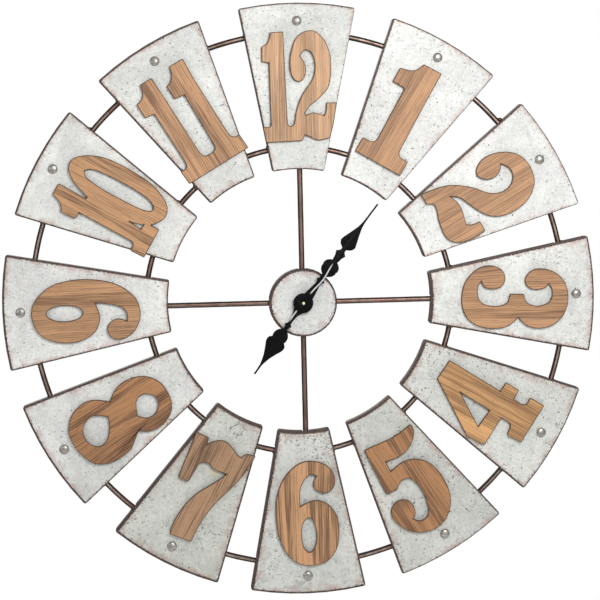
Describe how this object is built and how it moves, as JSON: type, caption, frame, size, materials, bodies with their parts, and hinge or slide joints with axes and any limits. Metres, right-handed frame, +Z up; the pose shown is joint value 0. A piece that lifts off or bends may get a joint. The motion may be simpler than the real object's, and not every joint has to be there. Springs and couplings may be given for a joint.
{
  "type": "wall clock",
  "caption": "Round open-frame wall clock: folded sheet-metal plates on welded rod rings, cut-out wooden numerals, black spade hands, a hub cap and a battery movement.",
  "frame": {"origin": "the hands' axis, on the wall plane, which is the back face of the movement's rear cover", "axes": "+X to the viewer's right, +Y into the wall, +Z up; the dial faces -Y"},
  "size_m": [0.73, 0.0296, 0.73],
  "materials": {
    "galvanised_sheet": "matt pale grey zinc, mottled, with dark specks and rusty edges",
    "zinc_rivet": "dull silver",
    "aged_steel": "dark bronze-brown, slightly shiny, worn",
    "stained_wood": "oiled board with dark burnt edges",
    "black_paint": "black satin paint on thin aluminium",
    "brass": "plain machined",
    "black_rubber": "matt",
    "black_plastic": "fine moulded texture",
    "white_plastic": "moulded, slightly glossy",
    "spring_steel": "plated, bright",
    "cell_jacket": "plain printed sleeve with no marks",
    "copper_wire": "enamelled wire",
    "board_green": "solder mask"
  },
  "bodies": {
    "frame": {"plate_12": "galvanised_sheet", "plate_1": "galvanised_sheet", "plate_2": "galvanised_sheet", "plate_3": "galvanised_sheet", "plate_4": "galvanised_sheet", "plate_5": "galvanised_sheet", "plate_6": "galvanised_sheet", "plate_7": "galvanised_sheet", "plate_8": "galvanised_sheet", "plate_9": "galvanised_sheet", "plate_10": "galvanised_sheet", "plate_11": "galvanised_sheet", "numeral_12": "stained_wood", "numeral_1": "stained_wood", "numeral_2": "stained_wood", "numeral_3": "stained_wood", "numeral_4": "stained_wood", "numeral_5": "stained_wood", "numeral_6": "stained_wood", "numeral_7": "stained_wood", "numeral_8": "stained_wood", "numeral_9": "stained_wood", "numeral_10": "stained_wood", "numeral_11": "stained_wood", "rivet_12": "zinc_rivet", "rivet_1": "zinc_rivet", "rivet_2": "zinc_rivet", "rivet_3": "zinc_rivet", "rivet_4": "zinc_rivet", "rivet_5": "zinc_rivet", "rivet_6": "zinc_rivet", "rivet_7": "zinc_rivet", "rivet_8": "zinc_rivet", "rivet_9": "zinc_rivet", "rivet_10": "zinc_rivet", "rivet_11": "zinc_rivet", "outer_ring": "aged_steel", "inner_ring": "aged_steel", "spoke_12": "aged_steel", "spoke_3": "aged_steel", "spoke_6": "aged_steel", "spoke_9": "aged_steel", "hanger": "aged_steel", "hub_cap": "galvanised_sheet", "hex_nut": "brass", "rubber_washer": "black_rubber", "movement_case": "black_plastic", "rear_cover": "black_plastic", "contact_plus": "spring_steel", "contact_minus": "spring_steel", "circuit_board": "board_green", "drive_coil": "copper_wire"},
    "minute_arm": {"minute_hand": "black_paint", "hand_nut": "brass", "minute_shaft": "brass"},
    "hour_arm": {"hour_hand": "black_paint", "hour_wheel": "white_plastic"},
    "motion_work": {"minute_wheel": "brass", "time_set_knob": "white_plastic"},
    "battery_cell": {"battery": "cell_jacket"}
  },
  "joints": [
    {"name": "minute_turn", "type": "hinge", "parent": "frame", "child": "minute_arm", "pos_m": [0, -0.02, 0], "axis": [0, 1, 0], "continuous": true},
    {"name": "hour_turn", "type": "hinge", "parent": "frame", "child": "hour_arm", "pos_m": [0, -0.018, 0], "axis": [0, 1, 0], "continuous": true},
    {"name": "motion_work_turn", "type": "hinge", "parent": "frame", "child": "motion_work", "pos_m": [-0.00636, -0.007, 0.00636], "axis": [0, 1, 0], "continuous": true},
    {"name": "battery_slide", "type": "slide", "parent": "frame", "child": "battery_cell", "axis": [0, 1, 0], "range_m": [0, 0.02]}
  ],
  "couplings": [
    {"joint": "hour_turn", "follows": "minute_turn", "ratio": 0.083333},
    {"joint": "motion_work_turn", "follows": "minute_turn", "ratio": -0.33333}
  ]
}
